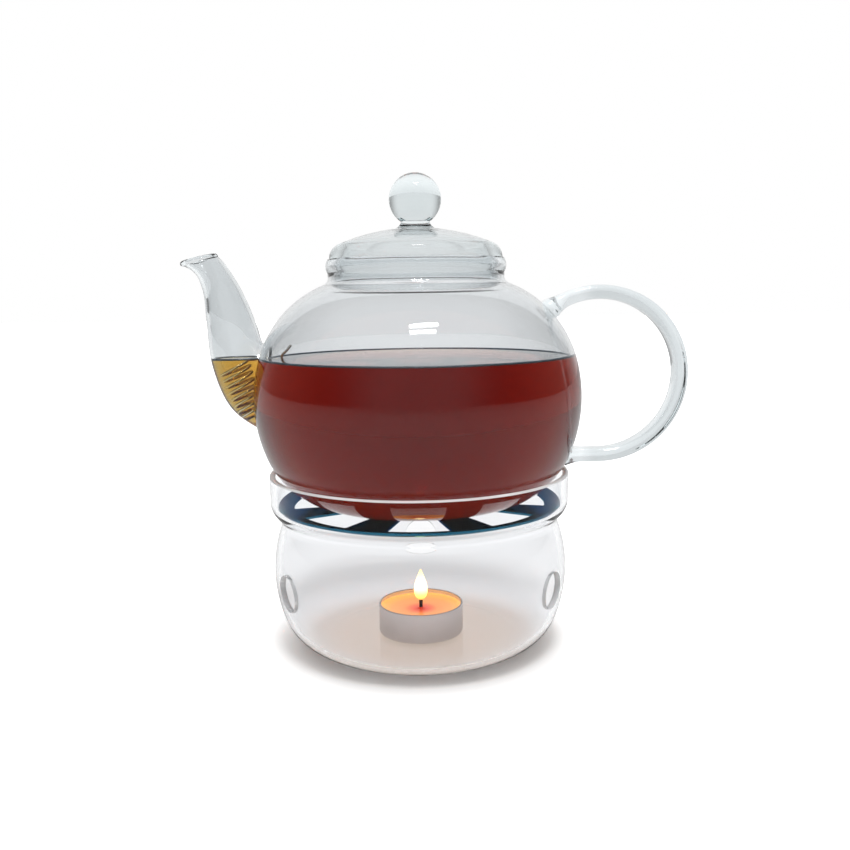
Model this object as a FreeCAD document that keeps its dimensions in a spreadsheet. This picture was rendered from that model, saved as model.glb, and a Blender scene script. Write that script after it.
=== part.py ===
import FreeCAD, Part
import math
import os
import Sketcher

# Glass teapot on a glass warmer with a tealight. Millimetres and degrees.
# The origin is the centre of the warmer's flat base, +Z is up and the spout points to -X.

DRIVING_SIZES = {
    # Warmer bowl: corner, bulge, waist, flare and collar, from the base up, set in from the pot's side
    "bowl_inset": 6.5,
    "bowl_equator": 35.0,
    "bowl_bulge_radius": 58.0,
    "bowl_corner_angle": 22.0,
    "bowl_waist_angle": 20.0,
    "bowl_waist_fillet": 4.0,
    "bowl_flare_angle": 40.0,
    "bowl_flare_run": 3.0,
    "bowl_collar_fillet": 8.0,
    "bowl_collar_wall": 11.2,
    "bowl_wall": 2.6,
    "bowl_rim_roundness": 0.6,
    "vent_radius": 8.0,
    "vent_height": 31.0,
    "vent_count": 3,
    # Rest plate in the collar
    "plate_rest_angle": 25.0,
    "plate_rest_clearance": 0.3,
    "plate_thickness": 0.9,
    "plate_rim_run": 3.0,
    "plate_rim_rise": 1.4,
    "window_count": 8,
    "window_margin": 4.09,
    "window_length": 25.0,
    "window_outer_half": 13.0,
    "window_inner_half": 7.0,
    # Tealight
    "cup_radius": 19.2,
    "cup_height": 13.4,
    "cup_wall": 0.4,
    "wax_headroom": 2.6,
    "wick_radius": 0.8,
    "wick_above_wax": 5.0,
    "sustainer_radius": 6.5,
    "sustainer_thickness": 0.4,
    "sustainer_neck_wall": 0.5,
    "sustainer_neck_height": 4.0,
    # Pot: base corner, belly, shoulder, neck and mouth
    "pot_radius": 72.0,
    "pot_equator_height": 47.1,
    "pot_belly_radius": 65.0,
    "pot_base_angle": 22.0,
    "pot_shoulder_angle": 15.4,
    "pot_shoulder_radius": 49.0,
    "pot_neck_radius": 38.5,
    "pot_neck_fillet": 3.0,
    "pot_mouth_height": 60.5,
    "pot_bead_height": 6.0,
    "pot_bead_radius": 5.7,
    "pot_wall": 2.0,
    # Lid and its ball knob
    "lid_rim_inset": 0.8,
    "lid_edge": 0.5,
    "lid_crown_radius": 87.0,
    "lid_corner_radius": 6.5,
    "lid_wall": 2.2,
    "lid_skirt_clearance": 0.9,
    "lid_skirt_depth": 10.5,
    "knob_ball_radius": 11.3,
    "knob_ball_height": 12.1,
    "knob_neck_radius": 6.2,
    "knob_foot_radius": 9.6,
    "knob_flare_radius": 4.5,
    # Handle: a round loop that runs out straight to the lower weld
    "handle_radius": 36.0,
    "handle_centre_reach": 8.2,
    "handle_centre_rise": 9.3,
    "handle_start_angle": 131.0,
    "handle_thickness": 6.3,
    "handle_width": 10.6,
    "handle_root_depth": 10.0,
    # Spout and the wire coil in its root
    "spout_wall": 1.6,
    "spout_bore_overrun": 1.0,
    "coil_radius": 5.6,
    "coil_wire_radius": 0.6,
    "coil_pitch": 2.8,
    "coil_turns": 8,
    "coil_seat_clearance": 1.8,
    "coil_start_along": -6.0,
    "tail_turn_radius": 3.6,
    "tail_pitch": 9.0,
    "tail_lean": 33.7,
    # Spout stations from inside the pot wall to the pouring lip: distance out from the pot's side,
    # height over the pot's equator, tilt, half height and half width
    "spout_inner_out": -8.8,
    "spout_inner_rise": 5.0,
    "spout_inner_tilt": 81.0,
    "spout_inner_half_height": 21.2,
    "spout_inner_half_width": 13.0,
    "spout_root_out": 2.6,
    "spout_root_rise": 9.7,
    "spout_root_tilt": 63.0,
    "spout_root_half_height": 16.4,
    "spout_root_half_width": 12.2,
    "spout_bend_out": 8.5,
    "spout_bend_rise": 23.6,
    "spout_bend_tilt": 42.0,
    "spout_bend_half_height": 13.4,
    "spout_bend_half_width": 10.8,
    "spout_rise_out": 11.3,
    "spout_rise_rise": 38.6,
    "spout_rise_tilt": 25.0,
    "spout_rise_half_height": 9.9,
    "spout_rise_half_width": 8.9,
    "spout_throat_out": 14.3,
    "spout_throat_rise": 50.8,
    "spout_throat_tilt": 13.5,
    "spout_throat_half_height": 7.5,
    "spout_throat_half_width": 7.2,
    "spout_lean_out": 18.7,
    "spout_lean_rise": 58.4,
    "spout_lean_tilt": 15.8,
    "spout_lean_half_height": 6.95,
    "spout_lean_half_width": 6.6,
    "spout_lip_out": 22.5,
    "spout_lip_rise": 61.3,
    "spout_lip_tilt": 12.9,
    "spout_lip_half_height": 8.05,
    "spout_lip_half_width": 7.0,
}

SPOUT_STATIONS = ("inner", "root", "bend", "rise", "throat", "lean", "lip")
LEAST_COIL_GAP = 0.4
STRAIGHT = 1e-9
TAIL_QUARTERS = 6
SAMPLES_PER_ARC = 6

document = FreeCAD.newDocument("teapot")
sheet = document.addObject("Spreadsheet::Sheet", "Sizes")


def fill_sheet():
    """Writes every driving size into the sheet, with its name as the alias."""
    for row, (alias, number) in enumerate(DRIVING_SIZES.items(), start=1):
        sheet.set(f"A{row}", alias)
        sheet.set(f"B{row}", str(number))
        sheet.setAlias(f"B{row}", alias)
    document.recompute()


def size(alias):
    """The expression that reads one size from the sheet."""
    return f"Sizes.{alias}"


def number_of(expression):
    """The number that an expression of the sheet's sizes gives."""
    result = sheet.evalExpression(str(expression))
    return float(getattr(result, "Value", result))


def point_on(centre, radius, angle):
    """The point of a circle at an angle from +X, as a pair of expressions."""
    return (f"({centre[0]}) + ({radius}) * cos({angle})", f"({centre[1]}) + ({radius}) * sin({angle})")


def origin_feature(body, role):
    """A body's own origin plane or axis."""
    return next(item for item in body.Origin.OriginFeatures if item.Role == role)


def arc_between(start, end, radius, turn):
    """A circle arc of under a half turn from start to end. Turn is 1 for anticlockwise, -1 for clockwise."""
    middle = (start + end) * 0.5
    chord = end - start
    reach = math.sqrt(max(radius * radius - chord.Length ** 2 / 4, 0.0))
    side = FreeCAD.Vector(-chord.y, chord.x, 0).normalize()
    centre = middle + side * reach * turn
    first, last = (start, end) if turn > 0 else (end, start)
    angles = [math.atan2(point.y - centre.y, point.x - centre.x) for point in (first, last)]
    circle = Part.Circle(centre, FreeCAD.Vector(0, 0, 1), radius)
    return Part.ArcOfCircle(circle, angles[0], angles[1])


def draw_outline(sketch, start, steps, closed=True):
    """Draws a chain of lines and arcs whose corners and radii are bound to the sheet.

    A step is (x, y) for a line, or (x, y, radius, turn) for an arc, with expressions for the sizes."""
    corners = [start] + [step[:2] for step in steps]
    if closed:
        corners[-1] = start
    points = [FreeCAD.Vector(number_of(x), number_of(y), 0) for x, y in corners]
    begins = []
    ends = []
    for index, step in enumerate(steps):
        begin, end = points[index], points[index + 1]
        if len(step) == 2:
            edge = sketch.addGeometry(Part.LineSegment(begin, end), False)
            begins.append((edge, 1))
            ends.append((edge, 2))
            continue
        radius, turn = step[2:]
        edge = sketch.addGeometry(arc_between(begin, end, number_of(radius), turn), False)
        begins.append((edge, 1) if turn > 0 else (edge, 2))
        ends.append((edge, 2) if turn > 0 else (edge, 1))
        place = sketch.addConstraint(Sketcher.Constraint("Radius", edge, number_of(radius)))
        sketch.setExpression(f"Constraints[{place}]", str(radius))
    for end, begin in zip(ends, begins[1:] + (begins[:1] if closed else [])):
        sketch.addConstraint(Sketcher.Constraint("Coincident", *end, *begin))
    held = begins if closed else begins + ends[-1:]
    for (edge, position), corner in zip(held, corners):
        for kind, axis, expression in (("DistanceX", -2, corner[0]), ("DistanceY", -1, corner[1])):
            if expression == "0":
                sketch.addConstraint(Sketcher.Constraint("PointOnObject", edge, position, axis))
                continue
            place = sketch.addConstraint(
                Sketcher.Constraint(kind, -1, 1, edge, position, number_of(expression)))
            sketch.setExpression(f"Constraints[{place}]", str(expression))


def new_sketch(body, name, role):
    """An empty sketch on one of the body's own origin planes."""
    sketch = body.newObject("Sketcher::SketchObject", name)
    sketch.AttachmentSupport = [(origin_feature(body, role), "")]
    sketch.MapMode = "FlatFace"
    document.recompute()
    return sketch


def turned_body(name, start, steps):
    """A body turned about +Z from an outline in the XZ plane."""
    body = document.addObject("PartDesign::Body", name)
    sketch = new_sketch(body, f"{name}_outline", "XZ_Plane")
    draw_outline(sketch, start, steps)
    turn = body.newObject("PartDesign::Revolution", f"{name}_turn")
    turn.Profile = sketch
    turn.ReferenceAxis = (sketch, ["V_Axis"])
    turn.Angle = 360
    document.recompute()
    return body


def cut_around(body, name, cut, count):
    """Repeats a cut evenly about +Z."""
    pattern = body.newObject("PartDesign::PolarPattern", name)
    pattern.Originals = [cut]
    pattern.Axis = (origin_feature(body, "Z_Axis"), [""])
    pattern.Angle = 360
    pattern.setExpression("Occurrences", count)
    body.Tip = pattern
    document.recompute()


def boolean_cut(name, base, tool, kind="Part::Cut"):
    """Base with tool taken away, or what they share."""
    cut = document.addObject(kind, name)
    cut.Base = base
    cut.Tool = tool
    document.recompute()
    return cut


fill_sheet()

# Warmer bowl

BOWL_RADIUS = f"({size('pot_radius')} - {size('bowl_inset')})"
BULGE_CENTRE = (f"({BOWL_RADIUS} - {size('bowl_bulge_radius')})", size("bowl_equator"))
CORNER_RADIUS = (f"(({size('bowl_equator')} - {size('bowl_bulge_radius')} * sin({size('bowl_corner_angle')}))"
                 f" / (1 - sin({size('bowl_corner_angle')})))")
CORNER_CENTRE = point_on(BULGE_CENTRE, f"{size('bowl_bulge_radius')} - {CORNER_RADIUS}",
                         f"-{size('bowl_corner_angle')}")
WAIST_CENTRE = point_on(BULGE_CENTRE, f"{size('bowl_bulge_radius')} + {size('bowl_waist_fillet')}",
                        size("bowl_waist_angle"))
FLARE_NORMAL = f"-{size('bowl_flare_angle')}"
FLARE_FOOT = point_on(WAIST_CENTRE, f"-{size('bowl_waist_fillet')}", FLARE_NORMAL)
COLLAR_CENTRE = (
    f"{FLARE_FOOT[0]} + {size('bowl_flare_run')} * sin({size('bowl_flare_angle')})"
    f" - {size('bowl_collar_fillet')} * cos({size('bowl_flare_angle')})",
    f"{FLARE_FOOT[1]} + {size('bowl_flare_run')} * cos({size('bowl_flare_angle')})"
    f" + {size('bowl_collar_fillet')} * sin({size('bowl_flare_angle')})",
)
COLLAR_TOP = f"({COLLAR_CENTRE[1]} + {size('bowl_collar_wall')})"


def bowl_side(inset):
    """Corners of the bowl's side from its base up to its rim, moved inwards by inset."""
    bulge = f"({size('bowl_bulge_radius')} - {inset})"
    corner = f"({CORNER_RADIUS} - {inset})"
    waist = f"({size('bowl_waist_fillet')} + {inset})"
    collar = f"({size('bowl_collar_fillet')} - {inset})"
    return [
        (CORNER_CENTRE[0], f"{CORNER_CENTRE[1]} - {corner}"),
        (*point_on(BULGE_CENTRE, bulge, f"-{size('bowl_corner_angle')}"), corner),
        (*point_on(BULGE_CENTRE, bulge, size("bowl_waist_angle")), bulge),
        (*point_on(WAIST_CENTRE, f"-{waist}", FLARE_NORMAL), waist),
        point_on(COLLAR_CENTRE, collar, FLARE_NORMAL),
        (f"{COLLAR_CENTRE[0]} + {collar}", COLLAR_CENTRE[1], collar),
        (f"{COLLAR_CENTRE[0]} + {collar}", COLLAR_TOP),
    ]


def bowl_steps():
    """The bowl's closed outline after its first corner on the axis."""
    outer = bowl_side("0")
    inner = bowl_side(size("bowl_wall"))
    steps = [outer[0]]
    for corner, turn in zip(outer[1:], (1, 1, -1, 0, 1, 0)):
        steps.append((*corner, turn) if len(corner) == 3 else corner)
    rim_radius = f"({size('bowl_wall')} * {size('bowl_rim_roundness')})"
    steps.append((*inner[-1], rim_radius, 1))
    backwards = list(zip(inner[:-1], inner[1:], (-1, -1, 1, 0, -1, 0)))[::-1]
    for corner, left, turn in backwards:
        steps.append((*corner[:2], left[2], turn) if len(left) == 3 else corner[:2])
    steps.append(("0", size("bowl_wall")))
    steps.append(("0", "0"))
    return steps


def make_bowl():
    body = turned_body("warmer_bowl", ("0", "0"), bowl_steps())
    sketch = new_sketch(body, "vent_outline", "XZ_Plane")
    edge = sketch.addGeometry(
        Part.Circle(FreeCAD.Vector(0, number_of(size("vent_height")), 0), FreeCAD.Vector(0, 0, 1),
                    number_of(size("vent_radius"))), False)
    sketch.addConstraint(Sketcher.Constraint("PointOnObject", edge, 3, -2))
    place = sketch.addConstraint(
        Sketcher.Constraint("DistanceY", -1, 1, edge, 3, number_of(size("vent_height"))))
    sketch.setExpression(f"Constraints[{place}]", size("vent_height"))
    place = sketch.addConstraint(Sketcher.Constraint("Radius", edge, number_of(size("vent_radius"))))
    sketch.setExpression(f"Constraints[{place}]", size("vent_radius"))
    vent = body.newObject("PartDesign::Pocket", "vent")
    vent.Profile = sketch
    vent.Type = "Length"
    vent.setExpression("Length", f"{BOWL_RADIUS} * 2")
    document.recompute()
    cut_around(body, "vents", vent, size("vent_count"))


# Rest plate: its rim comes to rest on the inner face of the flare

PLATE_EDGE = point_on(COLLAR_CENTRE, f"({size('bowl_collar_fillet')} - {size('bowl_wall')})",
                      f"-{size('plate_rest_angle')}")
PLATE_RADIUS = f"({PLATE_EDGE[0]} - {size('plate_rest_clearance')})"
PLATE_FLAT = f"({PLATE_RADIUS} - {size('plate_rim_run')})"
PLATE_BASE = f"({PLATE_EDGE[1]} - {size('plate_rim_rise')})"
PLATE_TOP = f"({PLATE_BASE} + {size('plate_thickness')})"


def make_plate():
    rim = f"{PLATE_BASE} + {size('plate_rim_rise')}"
    body = turned_body("support_plate", ("0", PLATE_BASE), [
        (PLATE_FLAT, PLATE_BASE),
        (PLATE_RADIUS, rim),
        (PLATE_RADIUS, f"{rim} + {size('plate_thickness')}"),
        (PLATE_FLAT, PLATE_TOP),
        ("0", PLATE_TOP),
        ("0", PLATE_BASE),
    ])
    sketch = new_sketch(body, "window_outline", "XY_Plane")
    outer = f"({PLATE_FLAT} - {size('window_margin')})"
    inner = f"({outer} - {size('window_length')})"
    outer_half, inner_half = size("window_outer_half"), size("window_inner_half")
    shoulder = f"sqrt({outer}^2 - {outer_half}^2)"
    draw_outline(sketch, (inner, f"-{inner_half}"), [
        (shoulder, f"-{outer_half}"),
        (shoulder, outer_half, outer, 1),
        (inner, inner_half),
        (inner, f"-{inner_half}"),
    ])
    window = body.newObject("PartDesign::Pocket", "window")
    window.Profile = sketch
    window.Type = "ThroughAll"
    window.Reversed = True
    document.recompute()
    cut_around(body, "windows", window, size("window_count"))


# Tealight: cup, wax, wick and the sustainer that holds the wick

CUP_BASE = size("bowl_wall")
WAX_BASE = f"({CUP_BASE} + {size('cup_wall')})"
WAX_TOP = f"({CUP_BASE} + {size('cup_height')} - {size('wax_headroom')})"
CUP_INSIDE = f"({size('cup_radius')} - {size('cup_wall')})"
NECK_RADIUS = f"({size('wick_radius')} + {size('sustainer_neck_wall')})"
DISC_TOP = f"({WAX_BASE} + {size('sustainer_thickness')})"
NECK_TOP = f"({WAX_BASE} + {size('sustainer_neck_height')})"


def make_tealight():
    cup_top = f"{CUP_BASE} + {size('cup_height')}"
    turned_body("tealight_cup", ("0", CUP_BASE), [
        (size("cup_radius"), CUP_BASE),
        (size("cup_radius"), cup_top),
        (CUP_INSIDE, cup_top),
        (CUP_INSIDE, WAX_BASE),
        ("0", WAX_BASE),
        ("0", CUP_BASE),
    ])
    turned_body("tealight_wax", (size("sustainer_radius"), WAX_BASE), [
        (CUP_INSIDE, WAX_BASE),
        (CUP_INSIDE, WAX_TOP),
        (size("wick_radius"), WAX_TOP),
        (size("wick_radius"), NECK_TOP),
        (NECK_RADIUS, NECK_TOP),
        (NECK_RADIUS, DISC_TOP),
        (size("sustainer_radius"), DISC_TOP),
        (size("sustainer_radius"), WAX_BASE),
    ])
    turned_body("wick_sustainer", (size("wick_radius"), WAX_BASE), [
        (size("sustainer_radius"), WAX_BASE),
        (size("sustainer_radius"), DISC_TOP),
        (NECK_RADIUS, DISC_TOP),
        (NECK_RADIUS, NECK_TOP),
        (size("wick_radius"), NECK_TOP),
        (size("wick_radius"), WAX_BASE),
    ])
    wick = document.addObject("Part::Cylinder", "wick")
    wick.setExpression("Radius", size("wick_radius"))
    wick.setExpression("Height", f"{WAX_TOP} - {WAX_BASE} + {size('wick_above_wax')}")
    wick.setExpression("Placement.Base.z", WAX_BASE)
    document.recompute()


# Pot: stands on the plate

POT_BASE = PLATE_TOP
POT_EQUATOR = f"({POT_BASE} + {size('pot_equator_height')})"
BELLY_CENTRE = (f"({size('pot_radius')} - {size('pot_belly_radius')})", POT_EQUATOR)
BASE_RADIUS = (f"(({size('pot_equator_height')} - {size('pot_belly_radius')} * sin({size('pot_base_angle')}))"
               f" / (1 - sin({size('pot_base_angle')})))")
BASE_CENTRE = point_on(BELLY_CENTRE, f"{size('pot_belly_radius')} - {BASE_RADIUS}",
                       f"-{size('pot_base_angle')}")
SHOULDER_CENTRE = point_on(BELLY_CENTRE, f"{size('pot_belly_radius')} - {size('pot_shoulder_radius')}",
                           size("pot_shoulder_angle"))
NECK_CENTRE_X = f"({size('pot_neck_radius')} + {size('pot_neck_fillet')})"
NECK_ANGLE = (f"acos(({NECK_CENTRE_X} - ({SHOULDER_CENTRE[0]}))"
              f" / ({size('pot_shoulder_radius')} + {size('pot_neck_fillet')}))")
NECK_CENTRE = (NECK_CENTRE_X, f"({SHOULDER_CENTRE[1]}) + ({size('pot_shoulder_radius')}"
                              f" + {size('pot_neck_fillet')}) * sin({NECK_ANGLE})")
MOUTH_TOP = f"({POT_EQUATOR} + {size('pot_mouth_height')})"
MOUTH_INSIDE = f"({size('pot_neck_radius')} - {size('pot_wall')})"


def pot_side(inset):
    """Corners of the pot's side from its base up to its neck, moved inwards by inset."""
    base = f"({BASE_RADIUS} - {inset})"
    belly = f"({size('pot_belly_radius')} - {inset})"
    shoulder = f"({size('pot_shoulder_radius')} - {inset})"
    neck = f"({size('pot_neck_fillet')} + {inset})"
    return [
        (BASE_CENTRE[0], f"{BASE_CENTRE[1]} - {base}"),
        (*point_on(BELLY_CENTRE, belly, f"-{size('pot_base_angle')}"), base),
        (*point_on(BELLY_CENTRE, belly, size("pot_shoulder_angle")), belly),
        (*point_on(SHOULDER_CENTRE, shoulder, NECK_ANGLE), shoulder),
        (f"{size('pot_neck_radius')} - {inset}", NECK_CENTRE[1], neck),
    ]


POT_TURNS = (1, 1, 1, -1)


def pot_outer_steps():
    """The pot's outer outline from its base's edge to its mouth."""
    outer = pot_side("0")
    steps = [outer[0]]
    steps += [(*corner, turn) for corner, turn in zip(outer[1:], POT_TURNS)]
    bead_foot = f"{MOUTH_TOP} - {size('pot_bead_height')}"
    steps.append((size("pot_neck_radius"), bead_foot))
    steps.append((size("pot_neck_radius"), MOUTH_TOP, size("pot_bead_radius"), 1))
    return steps


def make_pot_shell():
    inner = pot_side(size("pot_wall"))
    steps = pot_outer_steps() + [(MOUTH_INSIDE, MOUTH_TOP), inner[-1][:2]]
    for corner, left, turn in list(zip(inner[:-1], inner[1:], POT_TURNS))[::-1]:
        steps.append((*corner[:2], left[2], -turn))
    steps += [("0", f"{POT_BASE} + {size('pot_wall')}"), ("0", POT_BASE)]
    return turned_body("pot_shell", ("0", POT_BASE), steps)


def make_pot_envelope():
    """The pot's outer form, filled, which trims what is welded to its wall."""
    steps = pot_outer_steps() + [("0", MOUTH_TOP), ("0", POT_BASE)]
    return turned_body("pot_envelope", ("0", POT_BASE), steps)


def make_lower_space():
    """A block under the pot's equator, which parts the blown pot into its bowl and its shoulder."""
    space = document.addObject("Part::Box", "lower_space")
    below = f"({POT_BASE} - {size('pot_wall')})"
    space.setExpression("Length", f"{size('pot_radius')} * 4")
    space.setExpression("Width", f"{size('pot_radius')} * 4")
    space.setExpression("Height", f"{POT_EQUATOR} - {below}")
    space.setExpression("Placement.Base.x", f"-{size('pot_radius')} * 2")
    space.setExpression("Placement.Base.y", f"-{size('pot_radius')} * 2")
    space.setExpression("Placement.Base.z", below)
    return space


# Lid: a low dome with a skirt that centres it in the mouth

LID_RIM = f"({size('pot_neck_radius')} - {size('lid_rim_inset')})"
LID_CORNER_X = f"({LID_RIM} - {size('lid_corner_radius')})"
LID_CORNER_REACH = f"({size('lid_crown_radius')} - {size('lid_corner_radius')})"
LID_CORNER_RISE = f"sqrt({LID_CORNER_REACH}^2 - {LID_CORNER_X}^2)"
CROWN_CENTRE = f"({MOUTH_TOP} + {size('lid_edge')} - {LID_CORNER_RISE})"
CROWN_TOP = f"({CROWN_CENTRE} + {size('lid_crown_radius')})"
CROWN_SHARE = f"({size('lid_crown_radius')} / {LID_CORNER_REACH})"


def crown_height(radius, across):
    """Height of a dome concentric with the crown, at a distance from the axis."""
    return f"{CROWN_CENTRE} + sqrt(({radius})^2 - ({across})^2)"


def make_lid():
    skirt = f"({MOUTH_INSIDE} - {size('lid_skirt_clearance')})"
    skirt_inside = f"({skirt} - {size('lid_wall')})"
    skirt_foot = f"{MOUTH_TOP} - {size('lid_skirt_depth')}"
    underside = f"({size('lid_crown_radius')} - {size('lid_wall')})"
    turned_body("lid", ("0", f"{CROWN_TOP} - {size('lid_wall')}"), [
        (skirt_inside, crown_height(underside, skirt_inside), underside, -1),
        (skirt_inside, skirt_foot),
        (skirt, skirt_foot),
        (skirt, MOUTH_TOP),
        (LID_RIM, MOUTH_TOP),
        (LID_RIM, f"{CROWN_CENTRE} + {LID_CORNER_RISE}"),
        (f"{LID_CORNER_X} * {CROWN_SHARE}", f"{CROWN_CENTRE} + {LID_CORNER_RISE} * {CROWN_SHARE}",
         size("lid_corner_radius"), 1),
        ("0", CROWN_TOP, size("lid_crown_radius"), 1),
        ("0", f"{CROWN_TOP} - {size('lid_wall')}"),
    ])


def make_knob():
    ball = size("knob_ball_radius")
    ball_centre = f"({CROWN_TOP} + {size('knob_ball_height')})"
    neck = size("knob_neck_radius")
    turned_body("lid_knob", ("0", CROWN_TOP), [
        (size("knob_foot_radius"), crown_height(size("lid_crown_radius"), size("knob_foot_radius")),
         size("lid_crown_radius"), -1),
        (neck, f"{ball_centre} - sqrt({ball}^2 - {neck}^2)", size("knob_flare_radius"), -1),
        (ball, ball_centre, ball, 1),
        ("0", f"{ball_centre} + {ball}", ball, 1),
        ("0", CROWN_TOP),
    ])


# Handle: an oval rod bent to a loop and trimmed by the pot

HANDLE_CENTRE = (f"({size('pot_radius')} + {size('handle_centre_reach')})",
                 f"({POT_EQUATOR} + {size('handle_centre_rise')})")


def make_handle(envelope):
    start = point_on(HANDLE_CENTRE, size("handle_radius"), size("handle_start_angle"))
    side = (f"{HANDLE_CENTRE[0]} + {size('handle_radius')}", HANDLE_CENTRE[1])
    foot = (HANDLE_CENTRE[0], f"{HANDLE_CENTRE[1]} - {size('handle_radius')}")
    path = document.addObject("Sketcher::SketchObject", "handle_path")
    path.Placement.Rotation = FreeCAD.Rotation(FreeCAD.Vector(1, 0, 0), 90)
    draw_outline(path, start, [
        (*side, size("handle_radius"), -1),
        (*foot, size("handle_radius"), -1),
        (f"{foot[0]} - {size('handle_centre_reach')} - {size('handle_root_depth')}", foot[1]),
    ], closed=False)
    section = document.addObject("Part::Ellipse", "handle_section")
    section.setExpression("MajorRadius", f"{size('handle_width')} / 2")
    section.setExpression("MinorRadius", f"{size('handle_thickness')} / 2")
    section.setExpression("Placement.Base.x", start[0])
    section.setExpression("Placement.Base.z", start[1])
    angle = math.radians(number_of(size("handle_start_angle")))
    along = FreeCAD.Vector(math.sin(angle), 0, -math.cos(angle))
    across = FreeCAD.Vector(0, 1, 0)
    section.Placement.Rotation = FreeCAD.Rotation(across, along.cross(across), along, "ZXY")
    document.recompute()
    rod = document.addObject("Part::Sweep", "handle_rod")
    rod.Sections = [section]
    rod.Spine = (path, ["Edge1", "Edge2", "Edge3"])
    rod.Solid = True
    document.recompute()
    boolean_cut("handle", rod, envelope)


# Spout: a loft over tilted ovals, bored through and trimmed by the pot


def spout_loft(name, inset, overrun):
    """A solid through the spout's stations, with its ovals drawn in by inset and its end run past the lip."""
    ovals = []
    for station in SPOUT_STATIONS:
        def read(size_name, station=station):
            return size(f"spout_{station}_{size_name}")
        oval = document.addObject("Part::Ellipse", f"{name}_{station}")
        oval.setExpression("MajorRadius", f"{read('half_height')} - {inset}")
        oval.setExpression("MinorRadius", f"{read('half_width')} - {inset}")
        past = overrun if station == "lip" else "0"
        tilt = read("tilt")
        oval.Placement.Rotation = FreeCAD.Rotation(FreeCAD.Vector(0, 1, 0), -number_of(tilt))
        reach = f"({size('pot_radius')} + {read('out')})"
        oval.setExpression("Placement.Base.x", f"-{reach} - {past} * sin({tilt})")
        oval.setExpression("Placement.Base.z", f"{POT_EQUATOR} + {read('rise')} + {past} * cos({tilt})")
        ovals.append(oval)
    document.recompute()
    loft = document.addObject("Part::Loft", name)
    loft.Sections = ovals
    loft.Solid = True
    document.recompute()
    return loft


# Strainer: one unbroken wire wound to a coil along the spout's lower wall, with an open tail in the pot


def biarc(start, start_way, end, end_way):
    """Two arcs that join two points and run along a direction at each."""
    chord = end - start
    ways = start_way + end_way
    bend = 2 * (1 - start_way.dot(end_way))
    mixed = chord.dot(ways)
    if bend < STRAIGHT:
        reach = chord.dot(chord) / (4 * chord.dot(end_way))
    else:
        reach = (math.sqrt(mixed * mixed + bend * chord.dot(chord)) - mixed) / bend
    first_pole = start + start_way * reach
    last_pole = end - end_way * reach
    joint = (first_pole + last_pole) * 0.5
    return [arc_under(start, first_pole, joint), arc_under(joint, last_pole, end)]


def arc_under(start, pole, end):
    """The arc that touches both sides of the triangle start, pole, end."""
    middle = (start + end) * 0.5
    rise = pole - middle
    half_chord = (end - start).Length / 2
    half_turn = math.atan2(rise.Length, half_chord)
    crown = middle + rise.normalize() * half_chord * math.tan(half_turn / 2)
    return Part.Arc(start, crown, end).toShape()


def bore_edge(station):
    """The lowest point of the bore at a station, in the spout's middle plane."""
    tilt = math.radians(number_of(size(f"spout_{station}_tilt")))
    half = number_of(f"{size(f'spout_{station}_half_height')} - {size('spout_wall')}")
    out = -number_of(f"{size('pot_radius')} + {size(f'spout_{station}_out')}")
    up = number_of(f"{POT_EQUATOR} + {size(f'spout_{station}_rise')}")
    return FreeCAD.Vector(out - half * math.cos(tilt), 0, up - half * math.sin(tilt))


def wire_points():
    """Points and directions along the wire at each quarter turn: the coil, then the tail."""
    low = bore_edge("root")
    up = (bore_edge("bend") - low).normalize()
    inward = FreeCAD.Vector(up.z, 0, -up.x)
    across = FreeCAD.Vector(0, 1, 0)
    radius = number_of(size("coil_radius"))
    pitch = number_of(size("coil_pitch"))
    offset = number_of(f"{size('coil_radius')} + {size('coil_wire_radius')} + {size('coil_seat_clearance')}")
    foot = low + inward * offset + up * number_of(size("coil_start_along"))
    points = []
    quarters = 4 * int(number_of(size("coil_turns")))
    for quarter in range(quarters + 1):
        angle = quarter * math.pi / 2
        out = inward * math.cos(angle) + across * math.sin(angle)
        way = across * math.cos(angle) - inward * math.sin(angle)
        climb = up * pitch / (2 * math.pi * radius)
        points.append((foot + up * pitch * quarter / 4 + out * radius, (way + climb).normalize()))
    return points + tail_points(points[-1][0])


def tail_points(end_of_coil):
    """An open turn about +X from the coil's end into the pot, then a point that stands out of the tea."""
    radius = number_of(size("tail_turn_radius"))
    pitch = number_of(size("tail_pitch"))
    axis_start = end_of_coil + FreeCAD.Vector(pitch / 2, 0, 0)
    points = []
    for quarter in range(TAIL_QUARTERS):
        angle = quarter * math.pi / 2
        out = FreeCAD.Vector(0, math.cos(angle), math.sin(angle))
        way = FreeCAD.Vector(pitch / (2 * math.pi * radius), -math.sin(angle), math.cos(angle))
        ahead = FreeCAD.Vector(pitch * quarter / 4, 0, 0)
        points.append((axis_start + ahead + out * radius, way.normalize()))
    last = points[-1][0]
    rise = FreeCAD.Vector(radius, -radius / 2, radius)
    lean = math.radians(number_of(size("tail_lean")))
    points.append((last + rise, FreeCAD.Vector(math.sin(lean), 0, math.cos(lean))))
    return points


def least_gap(points, wire_radius, apart):
    """Least distance between stretches of the wire further apart along it than a number of points."""
    gap = math.inf
    for index, point in enumerate(points):
        for other in points[index + apart:]:
            gap = min(gap, point.distanceToPoint(other) - 2 * wire_radius)
    return gap


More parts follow.
